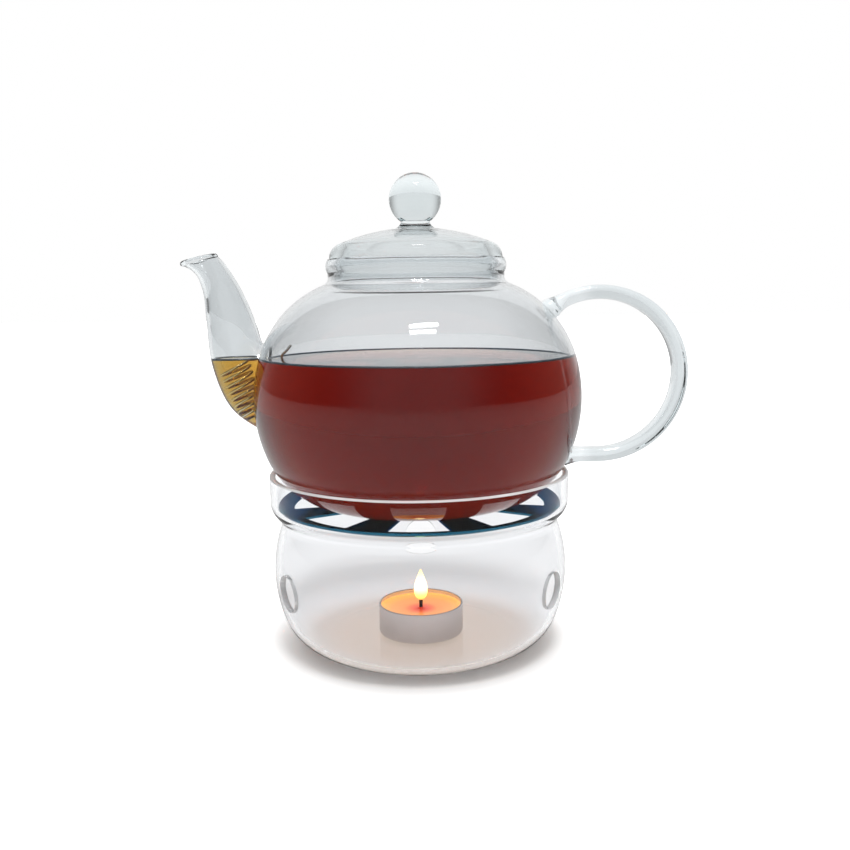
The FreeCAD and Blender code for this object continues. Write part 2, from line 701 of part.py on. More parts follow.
def make_strainer():
    edges = []
    stops = wire_points()
    for (start, start_way), (end, end_way) in zip(stops, stops[1:]):
        edges += biarc(start, start_way, end, end_way)
    path = Part.Wire(edges)
    wire_radius = number_of(size("coil_wire_radius"))
    section = Part.Wire(Part.makeCircle(wire_radius, stops[0][0], stops[0][1]))
    strainer = document.addObject("Part::Feature", "spout_strainer")
    strainer.Shape = path.makePipeShell([section], True, False)
    samples = [point for edge in edges for point in edge.discretize(SAMPLES_PER_ARC)[:-1]]
    half_turn = len(samples) * 2 // len(stops)
    gap = least_gap(samples, wire_radius, half_turn)
    print(f"strainer: wire {path.Length:.1f} mm long, least gap to itself {gap:.2f} mm,"
          f" volume {strainer.Shape.Volume:.1f} of {path.Length * math.pi * wire_radius ** 2:.1f}")
    if gap < LEAST_COIL_GAP:
        raise ValueError("the strainer's turns come too close")


make_bowl()
make_plate()
make_tealight()
pot_shell = make_pot_shell()
pot_envelope = make_pot_envelope()
make_lid()
make_knob()
make_handle(pot_envelope)
spout_bore = spout_loft("spout_bore", size("spout_wall"), size("spout_bore_overrun"))
spout_outside = spout_loft("spout_outside", "0", "0")
blown_pot = boolean_cut("blown_pot", pot_shell, spout_bore)
lower_space = make_lower_space()
boolean_cut("pot_body", blown_pot, lower_space, "Part::Common")
boolean_cut("pot_shoulder", blown_pot, lower_space)
spout_tube = boolean_cut("spout_tube", spout_outside, spout_bore)
boolean_cut("spout", spout_tube, pot_envelope)
make_strainer()

NODES = ("warmer_bowl", "support_plate", "tealight_cup", "tealight_wax", "wick_sustainer", "wick",
         "pot_body", "pot_shoulder", "spout", "handle", "spout_strainer", "lid", "lid_knob")

document.recompute()
for item in document.Objects:
    if "Invalid" in item.State or "Error" in item.State:
        raise ValueError(f"{item.Name} did not build")
os.makedirs("parts", exist_ok=True)
for node in NODES:
    piece = document.getObject(node)
    piece.Label = node
    if piece.Shape.isNull() or not piece.Shape.isValid():
        raise ValueError(f"{node} has no valid shape")
    box = piece.Shape.BoundBox
    print(f"{node}: {len(piece.Shape.Solids)} solid, volume {piece.Shape.Volume:.1f},"
          f" x {box.XMin:.1f} {box.XMax:.1f}, y {box.YMin:.1f} {box.YMax:.1f},"
          f" z {box.ZMin:.2f} {box.ZMax:.2f}")
for node in NODES:
    document.getObject(node).Shape.exportStep(f"parts/{node}.step")
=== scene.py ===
import math

import bmesh
import bpy
import numpy as np
from mathutils import Matrix, Vector
from mathutils.bvhtree import BVHTree


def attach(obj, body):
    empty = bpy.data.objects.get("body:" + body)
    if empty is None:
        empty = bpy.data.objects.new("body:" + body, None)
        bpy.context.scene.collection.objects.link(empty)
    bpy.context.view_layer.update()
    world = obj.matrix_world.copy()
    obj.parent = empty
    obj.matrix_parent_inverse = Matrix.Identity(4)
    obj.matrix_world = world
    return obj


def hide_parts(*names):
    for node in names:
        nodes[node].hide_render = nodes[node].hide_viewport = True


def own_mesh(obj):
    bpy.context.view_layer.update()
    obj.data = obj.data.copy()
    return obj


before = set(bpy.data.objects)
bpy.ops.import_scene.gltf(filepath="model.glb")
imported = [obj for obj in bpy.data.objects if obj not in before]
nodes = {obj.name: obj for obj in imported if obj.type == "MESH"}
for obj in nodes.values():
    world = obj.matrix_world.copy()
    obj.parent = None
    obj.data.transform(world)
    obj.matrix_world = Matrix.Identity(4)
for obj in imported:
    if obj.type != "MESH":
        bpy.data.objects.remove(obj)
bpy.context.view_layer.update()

# Sizes are in millimetres and angles in degrees where nothing else is said; meshes are in metres.
# A circle is its centre across, its centre up and its radius.
MM = 0.001

# Fineness: points round a full turn, degrees between the points of large and small arcs, points along a line
LATHE_SEGMENTS = 200
TEALIGHT_SEGMENTS = 160
FLAME_SEGMENTS = 48
SPOUT_SIDES = 72
HANDLE_SIDES = 64
VENT_SIDES = 64
LIP_SIDES = 20
WIRE_SIDES = 14
MENISCUS_SIDES = 12
ARC_STEP = 1.5
SMALL_ARC_STEP = 4.0
SMALL_RADIUS = 8.0
SPOUT_STEPS = 10
HANDLE_STEPS = 120
HANDLE_FOOT_STEPS = 12
LIP_STEPS = 96
MENISCUS_STEPS = 240
WIRE_STEPS = 40
BRIDGE_STEPS = 14
FLAME_STEPS = 24

# Edges sharper than these stay sharp in the shading
SHARP_ANGLE = 30.0
WIRE_SHARP_ANGLE = 60.0
WAX_SHARP_ANGLE = 50.0

# Cutters: how far they run past what they cut, and the block that takes the tea off above its level
CUT_OVERRUN = 1.0
TEA_CUT_HALF = 150.0
TEA_CUT_TOP = 300.0
ON_AXIS = 1e-6

# Pot, from the base up
POT_BASE = 63.43
POT_EQUATOR = 110.53
POT_MOUTH = 171.03
POT_WALL = 2.0
BELLY = (7.0, POT_EQUATOR, 65.0)
POT_CORNER = (33.54, 99.81, 36.38)
SHOULDER = (22.43, 114.78, 49.0)
NECK_RADIUS = 38.5
NECK_FILLET = (41.5, 163.15, 3.0)
NECK_ANGLE = 68.48
CORNER_ANGLE = 22.0
SHOULDER_ANGLE = 15.4
BEAD = (33.65, 168.03, 5.7)
BEAD_ANGLE = 31.76

# Warmer bowl, from the base up
BOWL_WALL = 2.6
BULGE = (7.5, 35.0, 58.0)
BOWL_CORNER = (41.6, 21.22, 21.22)
WAIST = (65.76, 56.2, 4.0)
COLLAR = (58.5, 66.22, 8.0)
COLLAR_TOP = 77.42
BULGE_ANGLES = (-22.0, 20.0)
FLARE_ANGLE = -40.0
RIM_DROP = 0.86
RIM_RADIUS = 1.56
RIM_ANGLES = (33.6, 146.4)
RIM_DEPTH = 1.2
VENT_RADIUS = 8.0
VENT_HEIGHT = 31.0
VENT_AZIMUTHS = (90.0, 210.0, 330.0)
VENT_REACHES = (40.0, 90.0)
VENT_SLACK = 0.05

# Lid and knob
CROWN = (0.0, 97.32, 87.0)
LID_WALL = 2.2
LID_CORNER = (31.2, 171.53, 6.5)
LID_CORNER_ANGLE = 67.20
LID_HOLLOW = (24.40, 169.09, 9.0)
LID_HOLLOW_ANGLE = 71.22
LID_RIM = 37.7
SKIRT_OUTSIDE = 35.6
SKIRT_INSIDE = 33.4
SKIRT_FOOT = 160.53
KNOB_BALL = (0.0, 196.42, 11.3)
KNOB_NECK_ANGLE = -56.7
KNOB_FLARE = (10.53, 188.19, 4.5)
KNOB_FLARE_ANGLES = (195.7, 258.0)
KNOB_FOOT = 9.6

# Handle loop: half thickness and half width of its band, and how it swells at its welds
HANDLE_CENTRE = (80.2, 119.83)
HANDLE_RADIUS = 36.0
HANDLE_ANGLES = (131.0, -90.0)
HANDLE_FOOT = 62.0
HANDLE_HALF = (3.15, 5.6)
HANDLE_SQUARENESS = 0.6
WELD_SWELL = 0.45
WELD_DEPTH = 3.5
WELD_RUN = 8.0

# Spout stations: distance from the axis, height, tilt, half height, half width
SPOUT_STATIONS = (
    (63.2, 115.53, 81.0, 21.2, 13.0),
    (74.6, 120.23, 63.0, 16.4, 12.2),
    (80.5, 134.13, 42.0, 13.4, 10.8),
    (83.3, 149.13, 25.0, 9.9, 8.9),
    (86.3, 161.33, 13.5, 7.5, 7.2),
    (90.7, 168.93, 15.8, 6.95, 6.6),
    (94.5, 171.83, 12.9, 8.05, 7.0),
)
SPOUT_WALL = 1.6
LIP_BEAD = 1.15

# Strainer wire
COIL_RADIUS = 5.6
WIRE_RADIUS = 0.6
COIL_PITCH = 2.8
COIL_TURNS = 8
COIL_CLEARANCE = 1.8
COIL_START = -6.0
TAIL_RADIUS = 3.6
TAIL_PITCH = 9.0
TAIL_TURNS = 1.25
TAIL_LEAN = 33.7

# Tealight: the cup's outer corner, rolled rim and inner corner, and the wax from its base round to the wick
CUP_CORNER = (18.2, 3.6, 1.0)
CUP_ROLL = (18.75, 15.55, 0.45)
CUP_ROLL_END = 225.0
CUP_INSIDE = 18.7
CUP_THROAT = 14.9
CUP_INNER_CORNER = (17.9, 3.9, 0.8)
CUP_FLOOR = 3.1
WAX_PROFILE = ((0, 3.0), (18.6, 3.0), (18.6, 13.9), (18.0, 13.45), (17.0, 13.2), (15.0, 13.05), (12.5, 12.9),
               (9.5, 12.75), (5.0, 12.7), (2.2, 12.75), (1.3, 13.0), (0.9, 13.4), (0, 13.4))

# Flame: its foot and tip, its radius, the shares of its height that are drawn and the powers that shape it
FLAME = (16.6, 31.3)
FLAME_RADIUS = 3.1
FLAME_SHARES = (0.04, 0.98)
FLAME_RISE = 0.62
FLAME_ROUNDNESS = 0.9

# Tea: its level, how far it reaches into the glass, and the circle and radius of the dark line at its edge,
# which is painted shade
TEA_LEVEL = 128.8
TEA_OVERLAP = 0.5
LEVEL_SLACK = 0.01
MENISCUS = (67.1, 0.45)

# How much light bends: at glass in air, at tea in air, at glass against tea, at the thin lid and bowl, at the
# solid knob and at the tea's sides, which lie in the wall; and how clear the bowl's flame-polished edges are
# made: mostly opaque and pale, which paints them light
GLASS_BEND = 1.47
TEA_BEND = 1.33
WET_BEND = GLASS_BEND / TEA_BEND
THIN_BEND = 1.18
KNOB_BEND = 1.36
NO_BEND = 1.0
EDGE_CLEAR_PAINTED_LIGHT = 0.2
MARK = "marked"

# Colours of glass and tea: at the surface, and what is left of white light inside, with its density
POT_TINT = (0.89, 0.90, 0.91)
# Spout and handle tints are darker as painted shade
SPOUT_PAINTED_SHADE_TINT = (0.82, 0.84, 0.85)
HANDLE_PAINTED_SHADE_TINT = (0.74, 0.76, 0.77)
POT_INSIDE = (0.80, 0.88, 0.90)
POT_DENSITY = 40.0
LID_TINT = (0.905, 0.92, 0.925)
LID_INSIDE = (0.80, 0.86, 0.87)
LID_DENSITY = 45.0
BOWL_TINT = (0.915, 0.92, 0.93)
BOWL_INSIDE = (0.86, 0.90, 0.92)
BOWL_DENSITY = 12.0
WHITE = (1.0, 1.0, 1.0)
TEA_COLOUR = (0.903, 0.69, 0.0)
TEA_DENSITY = 150.0
# The tea's edge line is painted near black: painted shade
MENISCUS_PAINTED_SHADE = (0.05, 0.07, 0.09)
MENISCUS_ROUGHNESS = 0.3

# The pot glass's tint along X, from 100 mm on the spout's side (0) to 100 mm on the handle's side (1), greyer
# over spout and handle as painted shade
POT_TINTS_WITH_PAINTED_SHADE = ((0.13, SPOUT_PAINTED_SHADE_TINT), (0.16, POT_TINT), (0.86, POT_TINT), (0.89, HANDLE_PAINTED_SHADE_TINT))
TINTS_PER_METRE = 5.0
TINTS_MIDDLE = 0.5

# Metals: colour, roughness and fineness of the streaks; roughness varies between two shares of its value
PLATE_METAL = ((0.015, 0.115, 0.185), 0.12, 60.0)
PLATE_EDGE_TINT = (0.05, 0.28, 0.38)
WIRE_METAL = ((0.80, 0.77, 0.70), 0.25, 900.0)
CUP_METAL = ((0.97, 0.9, 0.88), 0.4, 220.0)
CUP_METALLIC = 0.15
TIN_METAL = ((0.62, 0.62, 0.62), 0.3, 300.0)
STREAK_DETAIL = 4.0
ROUGHNESS_SHARES = (0.7, 1.3)

# Wax, from the wick to the cup, with its radius and depth scale in metres; its glow is painted light for the
# flame shining through it
WAX_RADIUS = 0.0188
WAX_COLOURS = ((0.0, (0.55, 0.04, 0.02)), (0.1, (0.8, 0.12, 0.05)), (0.35, (0.95, 0.34, 0.10)),
               (0.8, (0.97, 0.42, 0.13)), (1.0, (1.0, 0.55, 0.16)))
WAX_ROUGHNESS = 0.3
WAX_PAINTED_GLOW = 0.75
WAX_DEPTH_WEIGHT = 0.4
WAX_DEPTHS = (1.0, 0.4, 0.15)
WAX_DEPTH_SCALE = 0.004
WICK_COLOUR = (0.03, 0.02, 0.015)
WICK_ROUGHNESS = 0.9

# Flame, from foot to tip
FLAME_COLOURS = ((0.0, (0.7, 0.16, 0.03)), (0.22, (1.0, 0.5, 0.12)), (0.5, (1.0, 0.86, 0.5)),
                 (1.0, (1.0, 0.62, 0.18)))
FLAME_GLOW = 3.2

# Floor, in metres: its warm glow under the flame, which is painted light, and the white that the camera sees
# run from a distance to a distance and from a level to a level
FLOOR_SIZE = 12
FLOOR_DROP = 0.0002
FLOOR_COLOUR = (0.7, 0.7, 0.7)
FLOOR_ROUGHNESS = 0.9
FLOOR_PAINTED_WARMTH = (0.03, 0.075, 0.0, 1.0)
FLOOR_PAINTED_GLOWS = ((0.0, (1.0, 0.82, 0.68)), (1.0, WHITE))
# The white is held lower near the warmer: partly a painted shadow, partly letting the real shadow show
FLOOR_LIFT_AND_PAINTED_SHADOW = (0.045, 0.092, 0.12, 1.0)
# What glass adds to the floor seen through it, by distance from the middle in metres; more under the bowl as
# painted light
THROUGH_LIFTS_AND_PAINTED_LIGHT = ((0.055, (0.62, 0.62, 0.62)), (0.095, (0.34, 0.34, 0.34)), (0.2, (0.34, 0.34, 0.34)),
                 (0.4, (0.5, 0.5, 0.5)))
MIRRORED_LIFT = 0.05

# Light from the room by direction: from a place to a place, from a strength to a strength
ROOM_SIDES = (0.35, 0.95, 0.92, 0.2)
ROOM_FRONT = (-0.7, 0.2, 0.6, 1.0)
ROOM_CEILING = (0.45, 0.85, 0.0, 0.95)

# Two lamps in strips over the front, in metres and watts
KEY_PLACES = {"key_near": (0.1, -0.51, 1.6), "key_far": (0.1, -0.73, 1.6)}
KEY_TARGET = (0, 0, 0.1)
KEY_SIZE = (0.42, 0.09)
KEY_POWER = 6

# Camera, with its place in metres and its angles in radians
CAMERA_LENS = 38.545
CAMERA_SENSOR = 36.0
CAMERA_NEAR = 0.01
CAMERA_PLACE = (0.003, -0.4032, 0.15507)
CAMERA_DIP = 0.141
CAMERA_ROLL = -0.014
LIGHT_BOUNCES = 24


# Meshes


def turns(count):
    """Cosine and sine of angles spaced evenly round a full turn."""
    angles = [2 * math.pi * step / count for step in range(count)]
    return [(math.cos(angle), math.sin(angle)) for angle in angles]


def arc(circle, start, end):
    """Points of a circle between two angles."""
    across, up, radius = circle
    step = ARC_STEP if radius > SMALL_RADIUS else SMALL_ARC_STEP
    count = max(3, int(abs(end - start) / step))
    angles = np.radians(np.linspace(start, end, count + 1))
    return [(across + radius * math.cos(a), up + radius * math.sin(a)) for a in angles]


def inset(circle, by):
    """A circle with a smaller radius."""
    return circle[0], circle[1], circle[2] - by


def eased(start, start_pull, end, end_pull, share):
    """A point of a smooth curve between two ends that each pull it their way."""
    return (start * (1 + 2 * share) * (1 - share) ** 2
            + start_pull * share * (1 - share) ** 2
            + end * share ** 2 * (3 - 2 * share)
            - end_pull * share ** 2 * (1 - share))


def linked(name, data):
    """An object in the scene that holds the data."""
    thing = bpy.data.objects.new(name, data)
    bpy.context.scene.collection.objects.link(thing)
    return thing


def meshed(name, shape):
    """An object made of a finished shape, with its faces turned outwards."""
    bmesh.ops.recalc_face_normals(shape, faces=shape.faces)
    mesh = bpy.data.meshes.new(name)
    shape.to_mesh(mesh)
    shape.free()
    return linked(name, mesh)


def lathe(name, profile, segments=LATHE_SEGMENTS):
    """A closed mesh turned about +Z from a profile that starts and ends on the axis."""
    shape = bmesh.new()
    rings = []
    for across, up in profile:
        if across < ON_AXIS:
            rings.append([shape.verts.new((0, 0, up * MM))])
            continue
        reach = across * MM
        places = [(reach * cosine, reach * sine, up * MM) for cosine, sine in turns(segments)]
        rings.append([shape.verts.new(place) for place in places])
    for first, second in zip(rings, rings[1:]):
        for step in range(segments):
            after = (step + 1) % segments
            corners = [first[step % len(first)], first[after % len(first)],
                       second[after % len(second)], second[step % len(second)]]
            shape.faces.new(list(dict.fromkeys(corners)))
    return meshed(name, shape)


def tube(name, rings, closed=False):
    """A mesh through rings of points in metres, closed in itself or with a flat cap at both ends."""
    shape = bmesh.new()
    made = [[shape.verts.new(point) for point in ring] for ring in rings]
    following = made[1:] + made[:1] if closed else made[1:]
    for first, second in zip(made, following):
        for step in range(len(first)):
            after = (step + 1) % len(first)
            shape.faces.new([first[step], first[after], second[after], second[step]])
    if not closed:
        shape.faces.new(made[0][::-1])
        shape.faces.new(made[-1])
    return meshed(name, shape)


def round_ring(point, side, other, radius, count):
    """Points in metres round a point, in the plane of two directions."""
    return [(point + (side * cosine + other * sine) * radius) * MM for cosine, sine in turns(count)]


def bead(name, points, radius, count):
    """A round bead along a closed line of points."""
    rings = []
    middle = sum(points, Vector()) / len(points)
    for place, point in enumerate(points):
        way = (points[(place + 1) % len(points)] - points[place - 1]).normalized()
        side = (point - middle) - way * (point - middle).dot(way)
        side.normalize()
        rings.append(round_ring(point, side, way.cross(side), radius, count))
    return tube(name, rings, closed=True)


def wire_rings(points, radius, count):
    """Rings of a round wire along an open line of points, turned as little as possible."""
    rings = []
    side = Vector((0, 0, 1))
    for place, point in enumerate(points):
        way = (points[min(place + 1, len(points) - 1)] - points[max(place - 1, 0)]).normalized()
        side = (side - way * side.dot(way)).normalized()
        rings.append(round_ring(point, side, way.cross(side), radius, count))
    return rings


def block(name, low, high):
    """A box, used as a cutter."""
    shape = bmesh.new()
    bmesh.ops.create_cube(shape, size=1)
    for vertex in shape.verts:
        vertex.co = Vector([(low[i] if vertex.co[i] < 0 else high[i]) * MM for i in range(3)])
    return meshed(name, shape)


def combine(base, tool, operation):
    """Base after a boolean with tool, which is removed."""
    modifier = base.modifiers.new("combine", "BOOLEAN")
    modifier.operation = operation
    modifier.solver = "EXACT"
    modifier.object = tool
    graph = bpy.context.evaluated_depsgraph_get()
    mesh = bpy.data.meshes.new_from_object(base.evaluated_get(graph))
    base.modifiers.clear()
    base.data = mesh
    bpy.data.objects.remove(tool)


def smooth(thing, degrees=SHARP_ANGLE):
    """Smooth shading with sharp edges above an angle."""
    thing.data.shade_smooth()
    thing.data.set_sharp_from_angle(angle=math.radians(degrees))
    return thing


def marked(thing, chosen):
    """Marks the faces of a mesh for which chosen is true."""
    mark = thing.data.attributes.new(MARK, "FLOAT", "FACE")
    for face in thing.data.polygons:
        mark.data[face.index].value = 1.0 if chosen(face) else 0.0


# Outlines


def pot_side(by):
    """The pot's side from its base to its neck, moved inwards."""
    return (arc(inset(POT_CORNER, by), -90, -CORNER_ANGLE)
            + arc(inset(BELLY, by), -CORNER_ANGLE, SHOULDER_ANGLE)[1:]
            + arc(inset(SHOULDER, by), SHOULDER_ANGLE, NECK_ANGLE)[1:]
            + arc(inset(NECK_FILLET, -by), 180 + NECK_ANGLE, 180)[1:])


def pot_outer(name):
    """The pot's outside with its beaded mouth, as a full body."""
    side = pot_side(0) + arc(BEAD, -BEAD_ANGLE, BEAD_ANGLE)
    return lathe(name, [(0, POT_BASE)] + side + [(0, POT_MOUTH)])


def pot_inner(name, by, top):
    """A full body inside the pot, moved inwards from its outside and flat at the top."""
    side = pot_side(by)
    return lathe(name, [(0, POT_BASE + by)] + side + [(NECK_RADIUS - by, top), (0, top)])


def bowl_side(by):
    """The warmer bowl's side from its base to its collar, moved inwards."""
    return (arc(inset(BOWL_CORNER, by), -90, BULGE_ANGLES[0])
            + arc(inset(BULGE, by), *BULGE_ANGLES)[1:]
            + arc(inset(WAIST, -by), 180 + BULGE_ANGLES[1], 180 + FLARE_ANGLE)[1:]
            + arc(inset(COLLAR, by), FLARE_ANGLE, 0))


def leaning_oval(reach, up, lean, half_height, half_width, count):
    """Points of an oval across the spout."""
    lean = math.radians(lean)
    points = []
    for cosine, sine in turns(count):
        along = half_height * cosine
        points.append(Vector((-reach + along * math.cos(lean), half_width * sine,
                              up + along * math.sin(lean))))
    return points


def spout_rings(by, overrun):
    """Rings in metres of a smooth loft through the spout's stations, drawn in by a wall."""
    stations = np.array(SPOUT_STATIONS, float)
    stations[:, 3:] -= by
    tilt = math.radians(stations[-1, 2])
    stations[-1, 0] += overrun * math.sin(tilt)
    stations[-1, 1] += overrun * math.cos(tilt)
    gaps = np.linalg.norm(np.diff(stations[:, :2], axis=0), axis=1)
    knots = np.concatenate([[0], np.cumsum(gaps)])
    slopes = np.gradient(stations, knots, axis=0)
    rings = []
    for place in range(len(knots) - 1):
        span = knots[place + 1] - knots[place]
        last = place == len(knots) - 2
        for share in np.linspace(0, 1, SPOUT_STEPS + 1)[: None if last else -1]:
            row = eased(stations[place], slopes[place] * span,
                        stations[place + 1], slopes[place + 1] * span, share)
            rings.append([point * MM for point in leaning_oval(*row, SPOUT_SIDES)])
    return rings


def squared(share):
    """A share of an oval's half axis, pushed out towards a rounded band."""
    return math.copysign(abs(share) ** HANDLE_SQUARENESS, share)


def handle_rings():
    """Rings in metres of the handle's rounded band from the upper weld round to the lower one."""
    across, up = HANDLE_CENTRE
    path = []
    for angle in np.radians(np.linspace(*HANDLE_ANGLES, HANDLE_STEPS)):
        out = (math.cos(angle), math.sin(angle))
        path.append((across + HANDLE_RADIUS * out[0], up + HANDLE_RADIUS * out[1], out))
    for reach in np.linspace(across, HANDLE_FOOT, HANDLE_FOOT_STEPS)[1:]:
        path.append((reach, up - HANDLE_RADIUS, (0.0, -1.0)))
    runs = [math.dist(one[:2], two[:2]) for one, two in zip(path, path[1:])]
    gone = np.concatenate([[0], np.cumsum(runs)])
    rings = []
    for (x, z, out), run in zip(path, gone):
        near = min(run, gone[-1] - run)
        swell = 1 + WELD_SWELL * max(0.0, min(1.0, 1 - (near - WELD_DEPTH) / WELD_RUN)) ** 2
        ring = []
        for cosine, sine in turns(HANDLE_SIDES):
            thick = HANDLE_HALF[0] * swell * squared(cosine)
            wide = HANDLE_HALF[1] * swell * squared(sine)
            ring.append(Vector((x + out[0] * thick, wide, z + out[1] * thick)) * MM)
        rings.append(ring)
    return rings


# Materials


def new_material(name):
    """A new material, its main shader and its node tree."""
    material = bpy.data.materials.new(name)
    material.use_nodes = True
    return material, material.node_tree.nodes["Principled BSDF"], material.node_tree


def put(node, values):
    """Sets a node's inputs by name."""
    for name, value in values.items():
        node.inputs[name].default_value = value


def mapped(tree, source, low, high, start, end):
    """A node socket that runs smoothly from start to end while the source runs from low to high."""
    node = tree.nodes.new("ShaderNodeMapRange")
    node.interpolation_type = "SMOOTHSTEP"
    put(node, {"From Min": low, "From Max": high, "To Min": start, "To Max": end})
    tree.links.new(source, node.inputs["Value"])
    return node.outputs[0]


def between(tree, source, start, end):
    """A node socket that runs evenly from start to end while the source runs from 0 to 1."""
    node = tree.nodes.new("ShaderNodeMapRange")
    put(node, {"To Min": start, "To Max": end})
    tree.links.new(source, node.inputs["Value"])
    return node.outputs[0]


def reckoned(tree, operation, first, second=None):
    """A math node's socket; second is a socket or a number."""
    node = tree.nodes.new("ShaderNodeMath")
    node.operation = operation
    tree.links.new(first, node.inputs[0])
    if isinstance(second, float):
        node.inputs[1].default_value = second
    elif second is not None:
        tree.links.new(second, node.inputs[1])
    return node.outputs[0]


def coloured(tree, source, stops):
    """A colour ramp's socket; stops are (place, colour) from low to high."""
    node = tree.nodes.new("ShaderNodeValToRGB")
    ramp = node.color_ramp
    while len(ramp.elements) < len(stops):
        ramp.elements.new(0.5)
    for element, (place, colour) in zip(ramp.elements, stops):
        element.position = place
        element.color = (*colour, 1)
    tree.links.new(source, node.inputs[0])
    return node.outputs[0]


def place_parts(tree, kind):
    """The X, Y and Z sockets of a texture coordinate."""
    coordinates = tree.nodes.new("ShaderNodeTexCoord")
    split = tree.nodes.new("ShaderNodeSeparateXYZ")
    tree.links.new(coordinates.outputs[kind], split.inputs[0])
    return split.outputs


def distance_out(tree):
    """The distance from the +Z axis, in metres, as a socket."""
    coordinates = tree.nodes.new("ShaderNodeTexCoord")
    flat = tree.nodes.new("ShaderNodeVectorMath")
    flat.operation = "MULTIPLY"
    flat.inputs[1].default_value = (1, 1, 0)
    tree.links.new(coordinates.outputs["Object"], flat.inputs[0])
    length = tree.nodes.new("ShaderNodeVectorMath")
    length.operation = "LENGTH"
    tree.links.new(flat.outputs[0], length.inputs[0])
    return length.outputs["Value"]


def glass_material(name, tint, inside, density, bend, marked_bend, marked_clear=1.0):
    """Clear glass or liquid; faces that carry the mark have their own bend and clearness."""
    material, shader, tree = new_material(name)
    put(shader, {"Base Color": (*tint, 1), "Roughness": 0.0, "IOR": bend, "Transmission Weight": 1.0})
    mark = tree.nodes.new("ShaderNodeAttribute")
    mark.attribute_name = MARK
    for socket, plain, special in (("IOR", bend, marked_bend), ("Transmission Weight", 1.0, marked_clear)):
        if special != plain:
            tree.links.new(between(tree, mark.outputs["Fac"], plain, special), shader.inputs[socket])
    volume = tree.nodes.new("ShaderNodeVolumeAbsorption")
    put(volume, {"Color": (*inside, 1), "Density": density})
    tree.links.new(volume.outputs[0], tree.nodes["Material Output"].inputs["Volume"])
    return material


def metal_material(name, colour, roughness, streak, metallic=1.0, edge_tint=WHITE):
    """Metal whose roughness varies a little."""
    material, shader, tree = new_material(name)
    put(shader, {"Metallic": metallic, "Base Color": (*colour, 1), "Specular Tint": (*edge_tint, 1)})
    coordinates = tree.nodes.new("ShaderNodeTexCoord")
    noise = tree.nodes.new("ShaderNodeTexNoise")
    put(noise, {"Scale": streak, "Detail": STREAK_DETAIL})
    tree.links.new(coordinates.outputs["Object"], noise.inputs["Vector"])
    low, high = (roughness * share for share in ROUGHNESS_SHARES)
    tree.links.new(between(tree, noise.outputs["Fac"], low, high), shader.inputs["Roughness"])
    return material


def plain_material(name, colour, roughness):
    """One colour all over."""
    material, shader = new_material(name)[:2]
    put(shader, {"Base Color": (*colour, 1), "Roughness": roughness})
    return material


def wear(thing, material):
    """Gives a thing one material."""
    thing.data.materials.clear()
    thing.data.materials.append(material)


pot_glass = glass_material("pot_glass", POT_TINT, POT_INSIDE, POT_DENSITY, GLASS_BEND, WET_BEND)
# Handle and spout get a greyer tint than the blown wall between them: painted shade for the grey edges they
# show
tree = pot_glass.node_tree
across = place_parts(tree, "Object")["X"]
along = reckoned(tree, "ADD", reckoned(tree, "MULTIPLY", across, TINTS_PER_METRE), TINTS_MIDDLE)
tree.links.new(coloured(tree, along, POT_TINTS_WITH_PAINTED_SHADE), tree.nodes["Principled BSDF"].inputs["Base Color"])
lid_glass = glass_material("lid_glass", LID_TINT, LID_INSIDE, LID_DENSITY, THIN_BEND, KNOB_BEND)
# The bowl's vent walls and rim are mostly opaque and pale: painted light
warmer_glass = glass_material("warmer_glass", BOWL_TINT, BOWL_INSIDE, BOWL_DENSITY,
                              THIN_BEND, THIN_BEND, EDGE_CLEAR_PAINTED_LIGHT)
tea_look = glass_material("tea", WHITE, TEA_COLOUR, TEA_DENSITY, NO_BEND, TEA_BEND)
meniscus_painted_shade_look = plain_material("meniscus", MENISCUS_PAINTED_SHADE, MENISCUS_ROUGHNESS)
plate_look = metal_material("plate_steel", *PLATE_METAL, edge_tint=PLATE_EDGE_TINT)
wire_look = metal_material("wire_steel", *WIRE_METAL)
cup_look = metal_material("cup_aluminium", *CUP_METAL, CUP_METALLIC)
tin_look = metal_material("tinplate", *TIN_METAL)
wick_look = plain_material("wick_cotton", WICK_COLOUR, WICK_ROUGHNESS)

# Teapot glass: pot, spout and handle are fused, so they are one mesh

teapot = pot_outer("teapot_glass")
combine(teapot, tube("spout_outside", spout_rings(0, 0)), "UNION")
combine(teapot, tube("handle_rod", handle_rings()), "UNION")
combine(teapot, pot_inner("pot_hollow", POT_WALL, POT_MOUTH + CUT_OVERRUN), "DIFFERENCE")
combine(teapot, tube("spout_bore", spout_rings(SPOUT_WALL, CUT_OVERRUN)), "DIFFERENCE")
reach, up, lean, half_height, half_width = SPOUT_STATIONS[-1]
lip_line = leaning_oval(reach, up, lean, half_height - SPOUT_WALL / 2, half_width - SPOUT_WALL / 2, LIP_STEPS)
combine(teapot, bead("lip_bead", lip_line, LIP_BEAD, LIP_SIDES), "UNION")

# Tea in the pot and in the root of the spout; only its top bends light as it does in air

tea = pot_inner("tea", POT_WALL - TEA_OVERLAP, POT_MOUTH)
combine(tea, tube("spout_fill", spout_rings(SPOUT_WALL - TEA_OVERLAP, 0)), "UNION")
over_low = (-TEA_CUT_HALF, -TEA_CUT_HALF, TEA_LEVEL)
over_high = (TEA_CUT_HALF, TEA_CUT_HALF, TEA_CUT_TOP)
combine(tea, block("over_tea", over_low, over_high), "DIFFERENCE")
wear(smooth(tea), tea_look)
marked(tea, lambda face: face.center.z > (TEA_LEVEL - LEVEL_SLACK) * MM)
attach(tea, "teapot")

# The tea's edge climbs the wall a little; its bead is painted near black, a painted shade line where the edge
# shows dark

